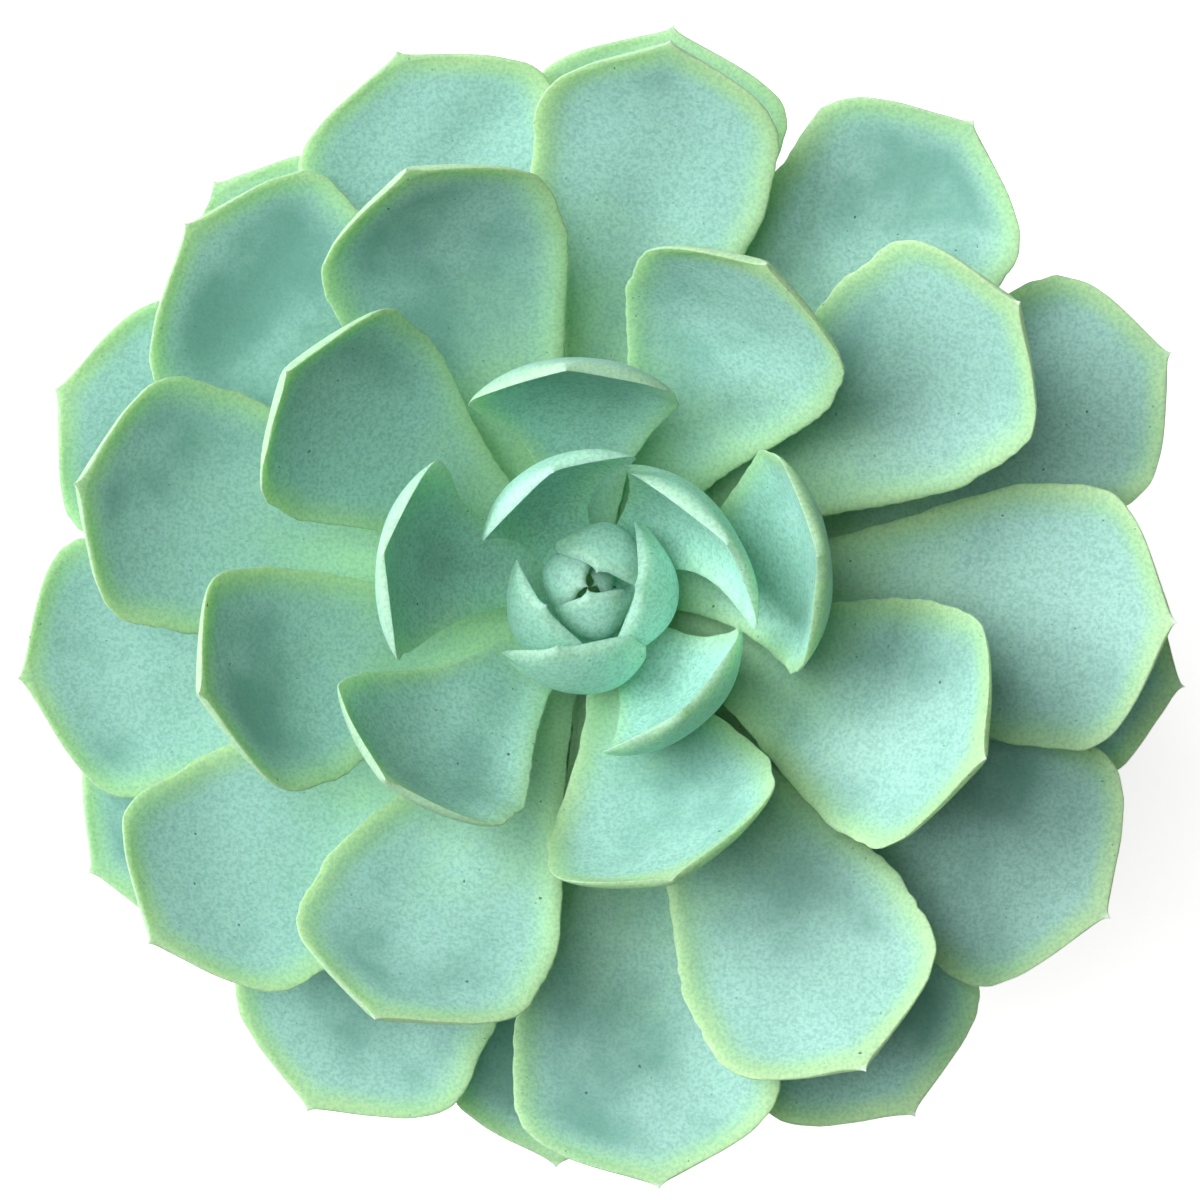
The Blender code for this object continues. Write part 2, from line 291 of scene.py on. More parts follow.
# %% Grow a fine leaf on a packed one
def grow_leaf(node, age, rng):
    """The section at angle a: across = cos a of the half width, out of the face = sin a of the
    thickness, lifted towards the margins by the cup times |cos a| to the dish power."""
    rings, base, tip, axes = leaf_rings(*cage(node))
    midrib, half, thick, cup = read_rings(rings)
    spans = np.linalg.norm(np.diff(np.vstack((midrib, tip)), axis=0), axis=1)
    stations = np.concatenate(([0.0], np.cumsum(spans)))
    length, last_ring = stations[-1], stations[-2]
    places = row_share * length
    body = np.minimum(places, last_ring)
    to_spine = np.clip((places - last_ring) / (length - last_ring), 0, 1)[:, None]
    middle = smooth_curve(stations, np.vstack((midrib, tip)), places)
    half, thick, cup = (smooth_curve(stations[:-1], reading, body) for reading in (half, thick, cup))
    half, cup = half * (1 - to_spine) ** SPINE_NARROWING, cup * (1 - to_spine) ** SPINE_NARROWING
    thick = thick * (1 - to_spine) ** SPINE_THINNING
    beyond = np.clip((row_share - SHOULDER_FROM) / (SHOULDER_TO - SHOULDER_FROM), 0, 1)[:, None]
    half = half * (1 - SHOULDER_ROUNDING * np.sin(math.tau * beyond))
    half = half * (1 + TIP_FULLNESS * beyond**3 * (1 - beyond**8))

    width = np.linalg.norm(half, axis=1)[:, None]
    share = (places / length)[:, None]
    run = share * length
    left = 1 + MARGIN_WAVE * drift(rng, run / MARGIN_WAVE_LENGTH, 0 * share, 3, 0.5, 1.6)
    right = 1 + MARGIN_WAVE * drift(rng, run / MARGIN_WAVE_LENGTH, 0 * share, 3, 0.5, 1.6)
    nicks = MARGIN_NICKS * drift(rng, run / NICK_LENGTH, np.sign(across) * 3, 5, 0.5, 2.2)
    sideways = across * np.where(across > 0, left, right) + nicks * across**3 / np.maximum(width, MM)
    keel = 1 + KEEL * (1 - np.abs(across)) ** 2
    below = (1 - CAGE_UPPER_SHARE) * keel / (1 + KEEL)
    skin = outward * np.where(is_upper, CAGE_UPPER_SHARE, below)
    lateral = (1 - np.abs(across)) * width
    lip = LIP_RISE * np.exp(-((lateral / LIP_WIDTH - 1) ** 2)) * is_upper
    lip = lip * (width > LIP_NEEDS_WIDTH)
    over = across * width / FACE_WAVE_LENGTH
    uneven = FACE_WAVE * drift(rng, run / FACE_WAVE_LENGTH, over, 6, 0.3, 1.5)
    uneven = uneven * np.abs(outward) * np.clip(share / FACE_WAVE_FROM, 0, 1) * (1 - to_spine)
    flutter = 1 + CUP_FLUTTER * drift(rng, run / FLUTTER_LENGTH, np.sign(across), 3, 0.4, 1.3)
    raised = np.abs(across) ** DISH * flutter
    grid = (
        middle[:, None]
        + sideways[..., None] * half[:, None]
        + (skin + lip + uneven)[..., None] * thick[:, None]
        + raised[..., None] * cup[:, None]
    )
    cap = BASE_CAP_DEPTHS[:, None, None]
    grid = np.vstack((base + (grid[:1] - base) * np.sqrt(1 - cap**2), grid))
    grid, base, tip = (place @ axes + plant_axis for place in (grid[:, ::-1], base, tip))
    piece = closed_skin(f"grown_{node}", grid, base, tip)

    slope = np.gradient(width[:, 0], places)[:, None]
    rim = lateral / np.sqrt(1 + slope**2)
    ones = np.ones_like(rim)
    store(
        piece,
        along=in_point_order(share * ones, 0, 1),
        rim_mm=in_point_order(rim / MM, 0, 0),
        upper=in_point_order(np.clip(outward * 3 + 0.5, 0, 1) * ones, 0.5, 0.5),
        age=in_point_order(age * ones, age, age),
    )
    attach(piece, "root")
    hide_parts(node)
    return piece


# %% Grow all the leaves, youngest first
LEAF_SEED = 700
leaves = []
for number, node in enumerate(leaf_names):
    age = number / (len(leaf_names) - 1)
    leaves.append(grow_leaf(node, age, np.random.default_rng(LEAF_SEED + number)))
print("leaf volumes in cm3:", [round(volume_cm3(leaf), 2) for leaf in leaves])

# %% [markdown]
# ## Node helpers
# A finish is a small network of nodes. These helpers keep each network short: one makes a node
# and joins its inputs, one does arithmetic, one fades smoothly between two limits.

# %% Helpers for node networks
def put(tree, kind, inputs=(), **settings):
    """A node of that kind; inputs is a dict or list of sockets or plain values."""
    node = tree.nodes.new(kind)
    for name, value in settings.items():
        setattr(node, name, value)
    pairs = inputs.items() if isinstance(inputs, dict) else enumerate(inputs)
    for name, value in pairs:
        if isinstance(value, bpy.types.NodeSocket):
            tree.links.new(value, node.inputs[name])
        else:
            node.inputs[name].default_value = value
    return node


def math_node(tree, operation, *values):
    return put(tree, "ShaderNodeMath", values, operation=operation).outputs[0]


def times(tree, first, second):
    return math_node(tree, "MULTIPLY", first, second)


def fade(tree, value, low, high):
    """0 below low, 1 above high, smooth between; low may be above high."""
    node = put(tree, "ShaderNodeMapRange", {"Value": value}, interpolation_type="SMOOTHSTEP")
    flip = low > high
    node.inputs["From Min"].default_value = min(low, high)
    node.inputs["From Max"].default_value = max(low, high)
    node.inputs["To Min"].default_value = float(flip)
    node.inputs["To Max"].default_value = float(not flip)
    return node.outputs["Result"]


def blend_color(tree, amount, first, second, mode="MIX"):
    node = put(tree, "ShaderNodeMix", data_type="RGBA", blend_type=mode)
    for name, value in ((0, amount), (6, first), (7, second)):
        if isinstance(value, bpy.types.NodeSocket):
            tree.links.new(value, node.inputs[name])
        else:
            node.inputs[name].default_value = value if name == 0 else (*value, 1.0)
    return node.outputs[2]


def noise(tree, place, scale, detail=2.0, roughness=0.5):
    inputs = {"Vector": place, "Scale": scale, "Detail": detail, "Roughness": roughness}
    return put(tree, "ShaderNodeTexNoise", inputs).outputs["Fac"]


def attribute(tree, name):
    return put(tree, "ShaderNodeAttribute", attribute_name=name).outputs["Fac"]


# %% A new material and its shader
def start_material(name, roughness, specular):
    material = bpy.data.materials.new(name)
    material.use_nodes = True
    shader = material.node_tree.nodes["Principled BSDF"]
    shader.inputs["Roughness"].default_value = roughness
    shader.inputs["Specular IOR Level"].default_value = specular
    return material, material.node_tree, shader


def new_group(name, inputs, outputs):
    """A node group with float inputs {name: value} and outputs {name: socket type}."""
    tree = bpy.data.node_groups.new(name, "ShaderNodeTree")
    for label, value in inputs.items():
        socket = tree.interface.new_socket(label, in_out="INPUT", socket_type="NodeSocketFloat")
        socket.default_value = value
    for label, kind in outputs.items():
        tree.interface.new_socket(label, in_out="OUTPUT", socket_type=kind)
    return tree, tree.nodes.new("NodeGroupInput").outputs, tree.nodes.new("NodeGroupOutput")


# %% [markdown]
# ## Specks and grain
# Leaf, clay, soil and bark all carry fine grain and scattered specks. Both are made once, as
# node groups, and each finish sets how large and how dense they are.

# %% Grain group
MM_PER_M = 1000.0
grain_group, given, result = new_group(
    "grain",
    {"Size mm": 0.5, "Patch mm": 6.0},
    {"Grain": "NodeSocketFloat", "Patches": "NodeSocketFloat"},
)
place = put(grain_group, "ShaderNodeTexCoord").outputs["Object"]
fine_scale = math_node(grain_group, "DIVIDE", MM_PER_M, given["Size mm"])
broad_scale = math_node(grain_group, "DIVIDE", MM_PER_M, given["Patch mm"])
fine = noise(grain_group, place, fine_scale, 3.0, 0.65)
broad = noise(grain_group, place, broad_scale, 3.0, 0.55)
grain_group.links.new(fine, result.inputs["Grain"])
grain_group.links.new(broad, result.inputs["Patches"])

# %% Speck group
SPECK_WARP_SCALE = 1800.0
SPECK_WARP = (0.4 * MM,) * 3
SMALLEST_SPECK = 0.35
speck_group, given, result = new_group(
    "specks",
    {"Spacing mm": 4.0, "Radius mm": 0.2, "Share": 0.5},
    {"Specks": "NodeSocketFloat"},
)
place = put(speck_group, "ShaderNodeTexCoord").outputs["Object"]
ripple = {"Vector": place, "Scale": SPECK_WARP_SCALE, "Detail": 1.0}
warp = put(speck_group, "ShaderNodeTexNoise", ripple).outputs["Color"]
moved = (warp, SPECK_WARP, place)
warped = put(speck_group, "ShaderNodeVectorMath", moved, operation="MULTIPLY_ADD")
cells = put(speck_group, "ShaderNodeTexVoronoi", {"Vector": warped.outputs[0]})
cell_scale = math_node(speck_group, "DIVIDE", MM_PER_M, given["Spacing mm"])
speck_group.links.new(cell_scale, cells.inputs["Scale"])
chance = put(speck_group, "ShaderNodeSeparateColor", (cells.outputs["Color"],)).outputs
chosen = math_node(speck_group, "LESS_THAN", chance[0], given["Share"])
larger = math_node(speck_group, "ADD", chance[1], SMALLEST_SPECK)
wanted = times(speck_group, given["Radius mm"], larger)
distance = times(speck_group, cells.outputs["Distance"], given["Spacing mm"])
inside = math_node(speck_group, "LESS_THAN", distance, wanted)
speck_group.links.new(times(speck_group, inside, chosen), result.inputs["Specks"])


def use_group(tree, group, **values):
    node = put(tree, "ShaderNodeGroup", node_tree=group)
    for name, value in values.items():
        node.inputs[name.replace("_", " ")].default_value = value
    return node.outputs


# %% [markdown]
# ## Leaf finish
# The leaf is green water tissue under a thin bloom of wax. The bloom is bluish and thickest in
# the middle of the outer half; the neck is clear green, and the margin, where there is little
# tissue, lets light through, and its yellow-green glow is partly painted into the colour. Young
# leaves are painted a paler mint, partly for the light through their thin tissue, and older ones
# carry deep green patches that are partly painted shade. Light also travels a few millimetres
# inside the leaf, which the shader's subsurface does.

# %% Leaf colours and how they meet
NECK_GREEN = (0.400, 0.730, 0.400)
BLOOM_BLUE = (0.380, 0.670, 0.590)
DEEP_GREEN = (0.130, 0.350, 0.280)
YOUNG_MINT_AND_GLOW = (0.520, 0.950, 0.800)
MARGIN_YELLOW_AND_GLOW = (0.600, 0.750, 0.350)
SPINE_CREAM = (0.760, 0.880, 0.700)
BACK_GREEN = (0.440, 0.770, 0.640)
SPECK_DARK = (0.04, 0.11, 0.06)
DUST_DARK = (0.09, 0.24, 0.15)

leaf_skin, tree, shader = start_material("leaf_skin", 0.5, 0.35)
along, rim, upper, age = (attribute(tree, name) for name in ("along", "rim_mm", "upper", "age"))
grain = use_group(tree, grain_group, Size_mm=0.45, Patch_mm=9.0)
mottle = use_group(tree, grain_group, Size_mm=0.9, Patch_mm=22.0)
dark_specks = use_group(tree, speck_group, Spacing_mm=3.0, Radius_mm=0.16, Share=0.50)
dust_specks = use_group(tree, speck_group, Spacing_mm=1.3, Radius_mm=0.11, Share=0.42)

patchy = times(tree, math_node(tree, "SUBTRACT", grain["Patches"], 0.5), 0.5)
youth = fade(tree, age, 0.45, 0.05)
from_neck = math_node(tree, "MULTIPLY_ADD", youth, 0.55, math_node(tree, "ADD", along, patchy))
from_rim = math_node(tree, "MULTIPLY_ADD", youth, 5.0, rim)
bloom = times(tree, fade(tree, from_neck, 0.22, 0.72), fade(tree, from_rim, 0.4, 5.0))
# Young leaves take a paler mint: partly their own bloom, partly painted light shining through their
# thin tissue.
color = blend_color(tree, bloom, NECK_GREEN, blend_color(tree, youth, BLOOM_BLUE, YOUNG_MINT_AND_GLOW))
mottled = times(tree, fade(tree, mottle["Grain"], 0.40, 0.70), times(tree, bloom, 0.22))
color = blend_color(tree, mottled, color, DEEP_GREEN)
# Partly painted shade: deep green patches toward the middle and tip of older leaves, where the bloom
# wears thin and where the dished face lies in shade.
worn_bloom_and_shade = times(tree, fade(tree, mottle["Patches"], 0.46, 0.66), fade(tree, from_neck, 0.35, 0.85))
worn_bloom_and_shade = times(tree, worn_bloom_and_shade, fade(tree, rim, 1.5, 7.0))
worn_bloom_and_shade = times(tree, worn_bloom_and_shade, math_node(tree, "SUBTRACT", 1.0, youth))
color = blend_color(tree, times(tree, worn_bloom_and_shade, 0.75), color, DEEP_GREEN)
paler = blend_color(tree, 0.4, color, BACK_GREEN)
color = blend_color(tree, math_node(tree, "SUBTRACT", 1.0, upper), color, paler)
# Margin band: yellow-green of the thin edge, partly painted light shining through it.
shifted_rim = math_node(tree, "SUBTRACT", rim, 2.5)
ragged_rim = math_node(tree, "MULTIPLY_ADD", mottle["Patches"], 5.0, shifted_rim)
margin = times(tree, fade(tree, ragged_rim, 3.2, -0.8), fade(tree, along, 0.12, 0.5))
margin = times(tree, margin, math_node(tree, "MULTIPLY_ADD", youth, -0.30, 0.48))
color = blend_color(tree, margin, color, MARGIN_YELLOW_AND_GLOW)
color = blend_color(tree, fade(tree, along, 0.982, 0.998), color, SPINE_CREAM)
fleck = times(tree, fade(tree, grain["Grain"], 0.38, 0.66), 0.30)
color = blend_color(tree, fleck, color, DEEP_GREEN)
color = blend_color(tree, times(tree, dark_specks["Specks"], 0.80), color, SPECK_DARK)
color = blend_color(tree, times(tree, dust_specks["Specks"], 0.60), color, DUST_DARK)
tree.links.new(color, shader.inputs["Base Color"])

# %% Leaf shine, depth and grain
shader.subsurface_method = "BURLEY"
shader.inputs["Subsurface Weight"].default_value = 0.45
shader.inputs["Subsurface Radius"].default_value = (0.55, 1.0, 0.30)
shader.inputs["Subsurface Scale"].default_value = 2.6 * MM
shader.inputs["Sheen Weight"].default_value = 0.06
shader.inputs["Sheen Roughness"].default_value = 0.5
rough = math_node(tree, "MULTIPLY_ADD", grain["Grain"], 0.18, 0.42)
tree.links.new(rough, shader.inputs["Roughness"])
height = math_node(tree, "MULTIPLY_ADD", mottle["Grain"], 0.6, grain["Grain"])
bump = put(tree, "ShaderNodeBump", {"Strength": 0.35, "Distance": 0.12 * MM, "Height": height})
tree.links.new(bump.outputs["Normal"], shader.inputs["Normal"])
for leaf in leaves:
    leaf.data.materials.append(leaf_skin)
print("leaf finish:", len(tree.nodes), "nodes")

# %% [markdown]
# ## The pot
# A plain clay pot is thrown or pressed as one turned wall, with a band at its rim and a hole in
# its floor. Its profile is carried once around the axis. The hand or the press leaves it slightly
# out of true, with faint turning lines, so the radius also takes a few slow waves.

# %% Pot profile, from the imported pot's box
pot_low, pot_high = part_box("pot")
POT_HEIGHT = pot_high.z - pot_low.z
RIM_RADIUS = (pot_high.x - pot_low.x) / 2
BAND_HEIGHT = 15 * MM
SHOULDER_RADIUS = RIM_RADIUS - 3.5 * MM
FOOT_RADIUS = RIM_RADIUS - 16 * MM
WALL = 5 * MM
FLOOR = 6 * MM
DRAIN_RADIUS = 6 * MM
BAND_DRAFT = 0.7 * MM
LONGEST_STEP = 1.2 * MM
POT_SEED = 31
POT_COLUMNS = 288
POT_INSET = 0.3 * MM
OUT_OF_TRUE, TRUE_RUN_LENGTH = 0.16 * MM, 60 * MM
OVAL, THREE_SIDED = 0.22 * MM, 0.10 * MM
TURNING_LINES, LINE_PITCH = 0.05 * MM, 2.2 * MM


def rounded_profile(corners, radii, steps=7):
    """Walk round a closed outline of (radius, height) corners, each turned as an arc-like bend.

    Each bend is a quadratic curve from a point before the corner to a point after it.
    """
    corners, radii = np.array(corners), np.array(radii)[:, None]
    before = np.roll(corners, 1, axis=0) - corners
    after = np.roll(corners, -1, axis=0) - corners
    enter = corners + before / np.linalg.norm(before, axis=1, keepdims=True) * radii
    leave = corners + after / np.linalg.norm(after, axis=1, keepdims=True) * radii
    t = np.linspace(0, 1, steps)[None, :, None]
    bend = (1 - t) ** 2 * enter[:, None] + 2 * t * (1 - t) * corners[:, None] + t**2 * leave[:, None]
    return bend.reshape(-1, 2)


def add_stations(outline, longest):
    """More points along a closed outline, so that no step is longer than the given length."""
    ends = np.roll(outline, -1, axis=0)
    steps = np.maximum(1, np.ceil(np.linalg.norm(ends - outline, axis=1) / longest)).astype(int)
    runs = []
    for start, end, count in zip(outline, ends, steps):
        runs.append(start + (end - start) * np.linspace(0, 1, count, endpoint=False)[:, None])
    return np.vstack(runs)


def turned(radius, turn, level):
    """Points at these radii and levels, carried round the axis by the turns."""
    return np.stack((radius * np.cos(turn), radius * np.sin(turn), level + 0 * radius), axis=-1)


# %% Turn the pot
band_foot = POT_HEIGHT - BAND_HEIGHT
pot_corners = (
    (RIM_RADIUS, POT_HEIGHT), (RIM_RADIUS - BAND_DRAFT, band_foot), (SHOULDER_RADIUS, band_foot),
    (FOOT_RADIUS, 0.0), (DRAIN_RADIUS, 0.0), (DRAIN_RADIUS, FLOOR),
    (FOOT_RADIUS - WALL, FLOOR), (RIM_RADIUS - WALL, POT_HEIGHT),
)
pot_bends = tuple(size * MM for size in (1.6, 1.4, 0.7, 1.4, 0.9, 0.9, 3.0, 1.6))
outline = add_stations(rounded_profile(pot_corners, pot_bends), LONGEST_STEP)[::-1]
turn = math.tau * np.arange(POT_COLUMNS) / POT_COLUMNS
rng = np.random.default_rng(POT_SEED)
radius, level = outline[:, :1], outline[:, 1:]
true_run = OUT_OF_TRUE * drift(rng, level / TRUE_RUN_LENGTH, 0 * level, 3, 0.4, 1.2)
true_run = true_run * (level > 2 * MM)
oval = OVAL * np.cos(2 * turn + 0.7) + THREE_SIDED * np.cos(3 * turn + 2.0)
lines = TURNING_LINES * drift(rng, level / LINE_PITCH, turn / math.tau * 0.5, 4, 0.6, 1.4)
standing = np.clip(level / (4 * MM), 0, 1) * (radius > 2 * DRAIN_RADIUS)
pot_radius = radius + (true_run + oval - POT_INSET + lines) * standing
pot_grid = turned(pot_radius, turn, level)
pot = closed_skin("clay_pot", pot_grid[:, ::-1])
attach(pot, "root")
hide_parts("pot")
print("pot volume", round(volume_cm3(pot), 1), "cm3 of clay in", pot_grid.shape[:2], "points")

# %% [markdown]
# ## Clay finish
# Fired clay is matt and slightly sandy. Salts from the water dry on its outside as a pale veil,
# thickest under the rim and near the foot, and the wet soil behind the wall keeps it darker.

# %% Clay colours and stains
CLAY_DARK, CLAY_LIGHT = (0.50, 0.195, 0.095), (0.62, 0.275, 0.150)
CLAY_PORE, SALT_PALE = (0.36, 0.13, 0.07), (0.74, 0.66, 0.58)
SAND_PALE, GRIT_DARK = (0.72, 0.44, 0.29), (0.22, 0.09, 0.06)
clay, tree, shader = start_material("fired_clay", 0.85, 0.25)
grain = use_group(tree, grain_group, Size_mm=0.7, Patch_mm=18.0)
sand = use_group(tree, speck_group, Spacing_mm=1.6, Radius_mm=0.22, Share=0.5)
grit = use_group(tree, speck_group, Spacing_mm=5.0, Radius_mm=0.4, Share=0.3)
place = put(tree, "ShaderNodeTexCoord").outputs["Object"]
level = put(tree, "ShaderNodeSeparateXYZ", (place,)).outputs["Z"]
streaked = put(tree, "ShaderNodeMapping", {"Vector": place, "Scale": (1.0, 1.0, 0.12)}).outputs[0]
streaks = noise(tree, streaked, 160.0, 4.0, 0.6)
color = blend_color(tree, fade(tree, grain["Patches"], 0.35, 0.65), CLAY_DARK, CLAY_LIGHT)
color = blend_color(tree, times(tree, fade(tree, grain["Grain"], 0.45, 0.8), 0.35), color, CLAY_PORE)
ragged = math_node(tree, "MULTIPLY_ADD", math_node(tree, "SUBTRACT", streaks, 0.5), 0.05, level)
under_rim = times(tree, fade(tree, ragged, 48 * MM, 60 * MM), 0.38)
salts = math_node(tree, "MAXIMUM", fade(tree, ragged, 20 * MM, 4 * MM), under_rim)
salts = times(tree, salts, times(tree, fade(tree, streaks, 0.36, 0.68), 0.5))
color = blend_color(tree, salts, color, SALT_PALE)
color = blend_color(tree, times(tree, sand["Specks"], 0.35), color, SAND_PALE)
color = blend_color(tree, times(tree, grit["Specks"], 0.5), color, GRIT_DARK)
tree.links.new(color, shader.inputs["Base Color"])
tree.links.new(math_node(tree, "MULTIPLY_ADD", grain["Grain"], 0.2, 0.72), shader.inputs["Roughness"])
height = math_node(tree, "MULTIPLY_ADD", sand["Specks"], 0.5, grain["Grain"])
bump = put(tree, "ShaderNodeBump", {"Strength": 0.5, "Distance": 0.2 * MM, "Height": height})
tree.links.new(bump.outputs["Normal"], shader.inputs["Normal"])
pot.data.materials.append(clay)

# %% [markdown]
# ## Soil and stem
# The soil is a crumbly mix with a lumpy top, one body that fills the pot. The stem is a short
# woody column, ringed with the scars of leaves that have dropped. Both hide under the leaves,
# and show only from a low angle.

# %% Soil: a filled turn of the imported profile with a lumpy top
soil_low, soil_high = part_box("soil")
SOIL_SEED = 32
SOIL_COLUMNS, SOIL_TOP_ROWS, SOIL_SIDE_ROWS = 180, 44, 10
SOIL_CROWN = 1.5 * MM
SOIL_SETTLED = 0.5 * MM
SOIL_WALL_GAP = 0.2 * MM
LUMPS, LUMP_LENGTH = 0.45 * MM, 6 * MM
CRUMBS, CRUMB_LENGTH = 0.28 * MM, 2 * MM
soil_top = soil_high.z - SOIL_CROWN
soil_rim = (soil_high.x - soil_low.x) / 2
soil_foot = soil_rim - (RIM_RADIUS - FOOT_RADIUS) * (soil_top - soil_low.z) / (POT_HEIGHT - FLOOR)
rng = np.random.default_rng(SOIL_SEED)
reach = np.concatenate((np.linspace(0.03, 1, SOIL_TOP_ROWS), np.ones(SOIL_SIDE_ROWS)))[:, None]
side = np.concatenate((np.zeros(SOIL_TOP_ROWS), np.linspace(0.1, 1, SOIL_SIDE_ROWS)))[:, None]
turn = math.tau * np.arange(SOIL_COLUMNS) / SOIL_COLUMNS
radius = reach * (soil_rim + (soil_foot - soil_rim) * side) - SOIL_WALL_GAP * (side > 0)
x, y = radius * np.cos(turn), radius * np.sin(turn)
lumps = LUMPS * drift(rng, x / LUMP_LENGTH, y / LUMP_LENGTH, 14, 0.3, 1.2)
crumbs = CRUMBS * drift(rng, x / CRUMB_LENGTH, y / CRUMB_LENGTH, 24, 0.5, 1.6)
surface = soil_top + SOIL_CROWN * (1 - reach**2) + lumps + crumbs - SOIL_SETTLED
z = np.where(side > 0, soil_top + (soil_low.z - soil_top) * side, surface)
soil = closed_skin(
    "potting_soil", np.stack((x, y, z), axis=-1),
    (0, 0, soil_top + SOIL_CROWN), (0, 0, soil_low.z),
)
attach(soil, "root")
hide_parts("soil")
print("soil volume", round(volume_cm3(soil), 1), "cm3")

# %% Stem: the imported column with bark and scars
STEM_SEED = 33
STEM_COLUMNS, STEM_ROWS = 96, 160
SCAR_RISE, SCAR_DEPTH, SCAR_WIDTH = 4.2 * MM, 0.16 * MM, 0.13
BARK_DEPTH, BARK_LENGTH = 0.10 * MM, 1.5 * MM
BARK_INSET = 0.15 * MM
SMOOTH_NEAR_TIP = 20 * MM
packed_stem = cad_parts["stem"].data
points = np.empty(len(packed_stem.vertices) * 3, np.float32)
packed_stem.vertices.foreach_get("co", points)
points = points.reshape(-1, 3) - plant_axis
levels, where = np.unique(points[:, 2].round(6), return_inverse=True)
girth = np.zeros(len(levels))
np.maximum.at(girth, where, np.hypot(points[:, 0], points[:, 1]))
rng = np.random.default_rng(STEM_SEED)
level = np.linspace(levels[0], levels[-1], STEM_ROWS)[1:-1, None]
turn = math.tau * np.arange(STEM_COLUMNS) / STEM_COLUMNS
winding = level / SCAR_RISE + turn / math.tau
scars = SCAR_DEPTH * np.exp(-((winding % 1 - 0.5) / SCAR_WIDTH) ** 2)
bark = BARK_DEPTH * drift(rng, level / BARK_LENGTH, turn * 4, 12, 0.3, 1.2)
radius = np.interp(level[:, 0], levels, girth)[:, None] - BARK_INSET
radius = radius + (bark - scars) * np.clip((growing_tip - level) / SMOOTH_NEAR_TIP, 0, 1)
grid = turned(radius, turn, level) + plant_axis
foot_point, top_point = (np.array((0, 0, end)) + plant_axis for end in (levels[0], levels[-1]))
stem = closed_skin("woody_stem", grid[:, ::-1], foot_point, top_point)
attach(stem, "root")
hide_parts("stem")
print("stem volume", round(volume_cm3(stem), 1), "cm3")

# %% Soil finish
SOIL_DARK, SOIL_LIGHT = (0.018, 0.012, 0.008), (0.085, 0.055, 0.034)
FIBRE_BROWN, PUMICE_PALE = (0.20, 0.13, 0.07), (0.58, 0.54, 0.47)
earth, tree, shader = start_material("crumbly_soil", 0.95, 0.2)
grain = use_group(tree, grain_group, Size_mm=0.9, Patch_mm=5.0)
pumice = use_group(tree, speck_group, Spacing_mm=3.6, Radius_mm=0.9, Share=0.30)
fibre = use_group(tree, speck_group, Spacing_mm=2.2, Radius_mm=0.4, Share=0.35)
color = blend_color(tree, fade(tree, grain["Grain"], 0.3, 0.7), SOIL_DARK, SOIL_LIGHT)
color = blend_color(tree, times(tree, fibre["Specks"], 0.6), color, FIBRE_BROWN)
color = blend_color(tree, times(tree, pumice["Specks"], 0.85), color, PUMICE_PALE)
tree.links.new(color, shader.inputs["Base Color"])
height = math_node(tree, "ADD", grain["Grain"], pumice["Specks"])
bump = put(tree, "ShaderNodeBump", {"Strength": 0.8, "Distance": 0.6 * MM, "Height": height})
tree.links.new(bump.outputs["Normal"], shader.inputs["Normal"])
soil.data.materials.append(earth)

# %% Bark finish
BARK_DARK, BARK_LIGHT = (0.16, 0.105, 0.055), (0.36, 0.29, 0.17)
YOUNG_STEM_GREEN, CORK_PALE = (0.30, 0.52, 0.24), (0.48, 0.42, 0.30)
bark_skin, tree, shader = start_material("stem_bark", 0.8, 0.3)
grain = use_group(tree, grain_group, Size_mm=0.6, Patch_mm=4.0)
corky = use_group(tree, speck_group, Spacing_mm=1.4, Radius_mm=0.25, Share=0.4)
place = put(tree, "ShaderNodeTexCoord").outputs["Object"]
level = put(tree, "ShaderNodeSeparateXYZ", (place,)).outputs["Z"]
ragged = math_node(tree, "MULTIPLY_ADD", grain["Patches"], 8 * MM, level)
green = fade(tree, ragged, growing_tip - 22 * MM, growing_tip - 8 * MM)
color = blend_color(tree, fade(tree, grain["Grain"], 0.3, 0.7), BARK_DARK, BARK_LIGHT)
color = blend_color(tree, green, color, YOUNG_STEM_GREEN)
color = blend_color(tree, times(tree, corky["Specks"], 0.5), color, CORK_PALE)
tree.links.new(color, shader.inputs["Base Color"])
bump = put(tree, "ShaderNodeBump", {"Strength": 0.6, "Distance": 0.25 * MM, "Height": grain["Grain"]})
tree.links.new(bump.outputs["Normal"], shader.inputs["Normal"])
stem.data.materials.append(bark_skin)

# %% [markdown]
# ## Floor, light and camera
# The plant stands on a plain pale floor. The floor glows for the camera alone, which sees plain
# white past its edge. A broad soft light comes from the left and a little from behind, as from a
# window, with a weaker one from nearly overhead, and the room gives a faint even fill. The camera
# hangs over the plant and looks straight down.

# %% Floor
FLOOR_GREY, FLOOR_PALE = (0.92, 0.92, 0.915), (0.95, 0.95, 0.95)
FLOOR_GLOW = 0.75
bpy.ops.mesh.primitive_plane_add(size=6.0, location=(0, 0, 0))
floor = bpy.context.object
floor.name = "pale_floor"
floor_paint, tree, shader = start_material("pale_floor", 0.9, 0.2)
grain = use_group(tree, grain_group, Size_mm=3.0, Patch_mm=200.0)
color = blend_color(tree, fade(tree, grain["Patches"], 0.2, 0.8), FLOOR_GREY, FLOOR_PALE)
tree.links.new(color, shader.inputs["Base Color"])
seen = put(tree, "ShaderNodeLightPath").outputs["Is Camera Ray"]
shader.inputs["Emission Color"].default_value = (1, 1, 1, 1)
tree.links.new(times(tree, seen, FLOOR_GLOW), shader.inputs["Emission Strength"])
floor.data.materials.append(floor_paint)
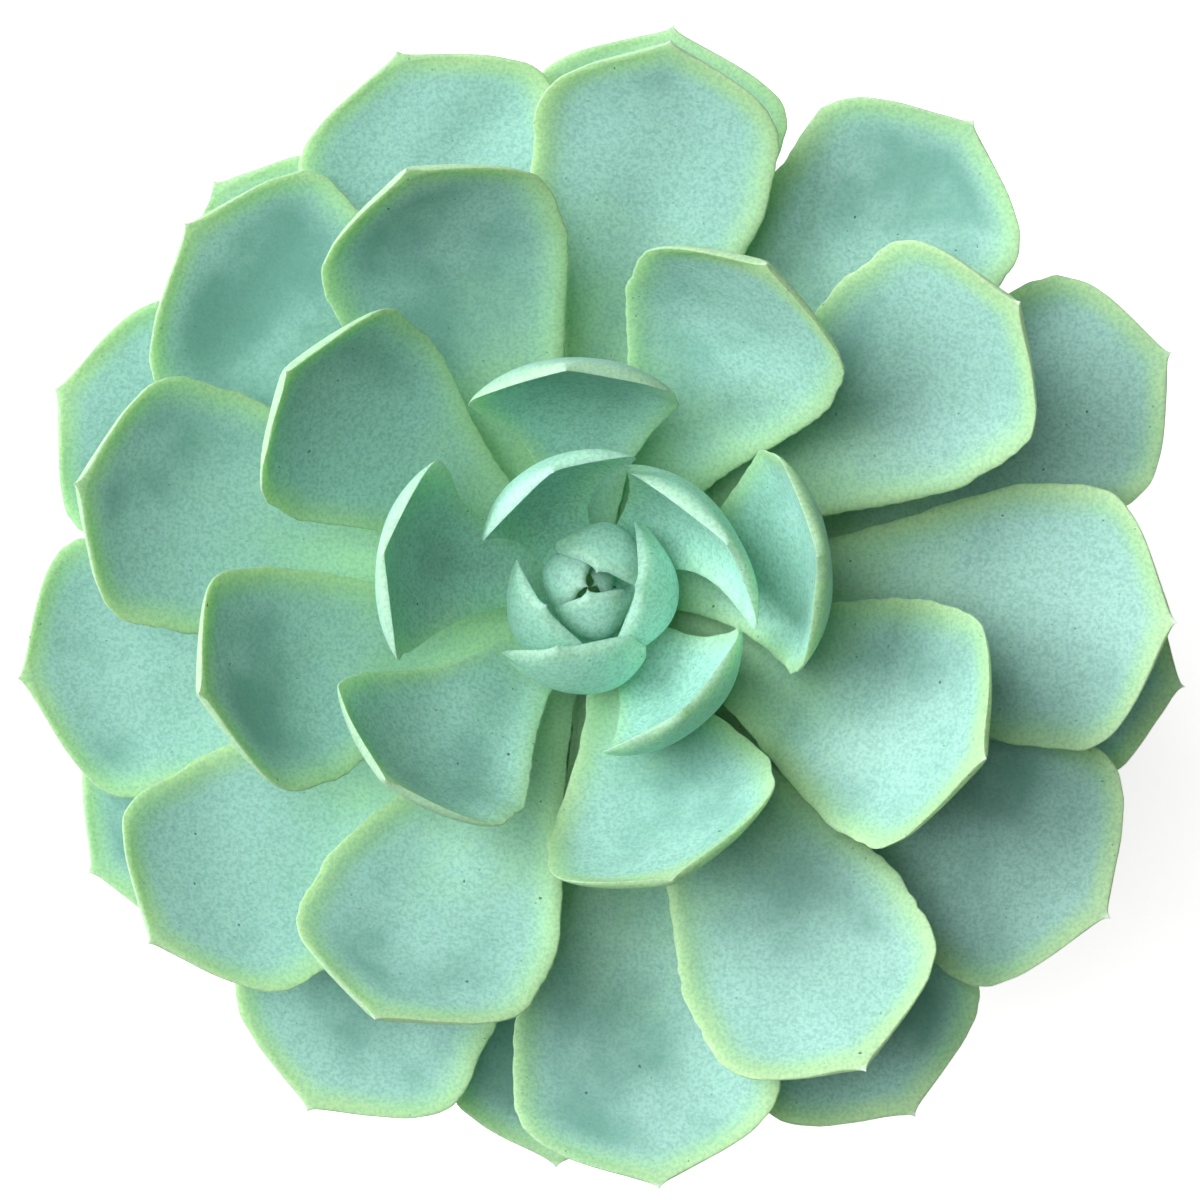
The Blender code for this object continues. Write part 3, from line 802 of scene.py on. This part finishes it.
floor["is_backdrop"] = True

# %% Lights
def soft_light(name, place, aim, size, power, tint):
    """A square area light at place that faces aim."""
    data = bpy.data.lights.new(name, "AREA")
    data.shape, data.size, data.energy, data.color = "SQUARE", size, power, tint
    lamp = bpy.data.objects.new(name, data)
    bpy.context.scene.collection.objects.link(lamp)
    lamp.location = place
    lamp.rotation_euler = (aim - lamp.location).to_track_quat("-Z", "Y").to_euler()
    return lamp


DAYLIGHT = (0.97, 0.99, 1.0)
TO_WINDOW, TO_SKYLIGHT = Vector((-0.90, 0.38, 0.72)), Vector((-0.30, 0.14, 1.25))
rosette = Vector((plant_axis[0], plant_axis[1], growing_tip - 10 * MM))
soft_light("window", rosette + TO_WINDOW, rosette, 0.90, 20.0, DAYLIGHT)
soft_light("skylight", rosette + TO_SKYLIGHT, rosette, 0.60, 7.0, DAYLIGHT)

# %% Room: a faint fill for the plant, plain white for the camera
world = bpy.data.worlds.new("room")
bpy.context.scene.world = world
world.use_nodes = True
sky = world.node_tree.nodes["Background"]
sky.inputs["Color"].default_value = (1.0, 1.0, 0.90, 1.0)
sky.inputs["Strength"].default_value = 0.08
white = {"Color": (1.0, 1.0, 1.0, 1.0), "Strength": 1.0}
backdrop = put(world.node_tree, "ShaderNodeBackground", white)
seen = put(world.node_tree, "ShaderNodeLightPath").outputs["Is Camera Ray"]
either = put(world.node_tree, "ShaderNodeMixShader", (seen, sky.outputs[0], backdrop.outputs[0]))
surface = world.node_tree.nodes["World Output"].inputs["Surface"]
world.node_tree.links.new(either.outputs[0], surface)

# %% Camera
VIEW_DISTANCE = 450 * MM
VIEW_WIDTH = 150 * MM
OUTER_TIPS_BELOW = 11.2 * MM
OFF_AXIS = np.array((1.26, -1.49)) * MM
lens = bpy.data.cameras.new("overhead")
lens.sensor_width = 36.0
lens.lens = lens.sensor_width * VIEW_DISTANCE / VIEW_WIDTH
lens.clip_start, lens.clip_end = 0.01, 20.0
camera = bpy.data.objects.new("overhead", lens)
bpy.context.scene.collection.objects.link(camera)
camera.location = (
    *(plant_axis[:2] + OFF_AXIS),
    growing_tip - OUTER_TIPS_BELOW + VIEW_DISTANCE,
)
bpy.context.scene.camera = camera
bpy.context.scene.view_settings.view_transform = "Standard"

# %% Compare the model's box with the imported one, and finish
new_low, new_high = (list(corner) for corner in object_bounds())
grown_high = [round((new - old) / MM, 2) for new, old in zip(new_high, cad_high)]
grown_low = [round((old - new) / MM, 2) for new, old in zip(new_low, cad_low)]
print("grew by (mm)", grown_high, grown_low)
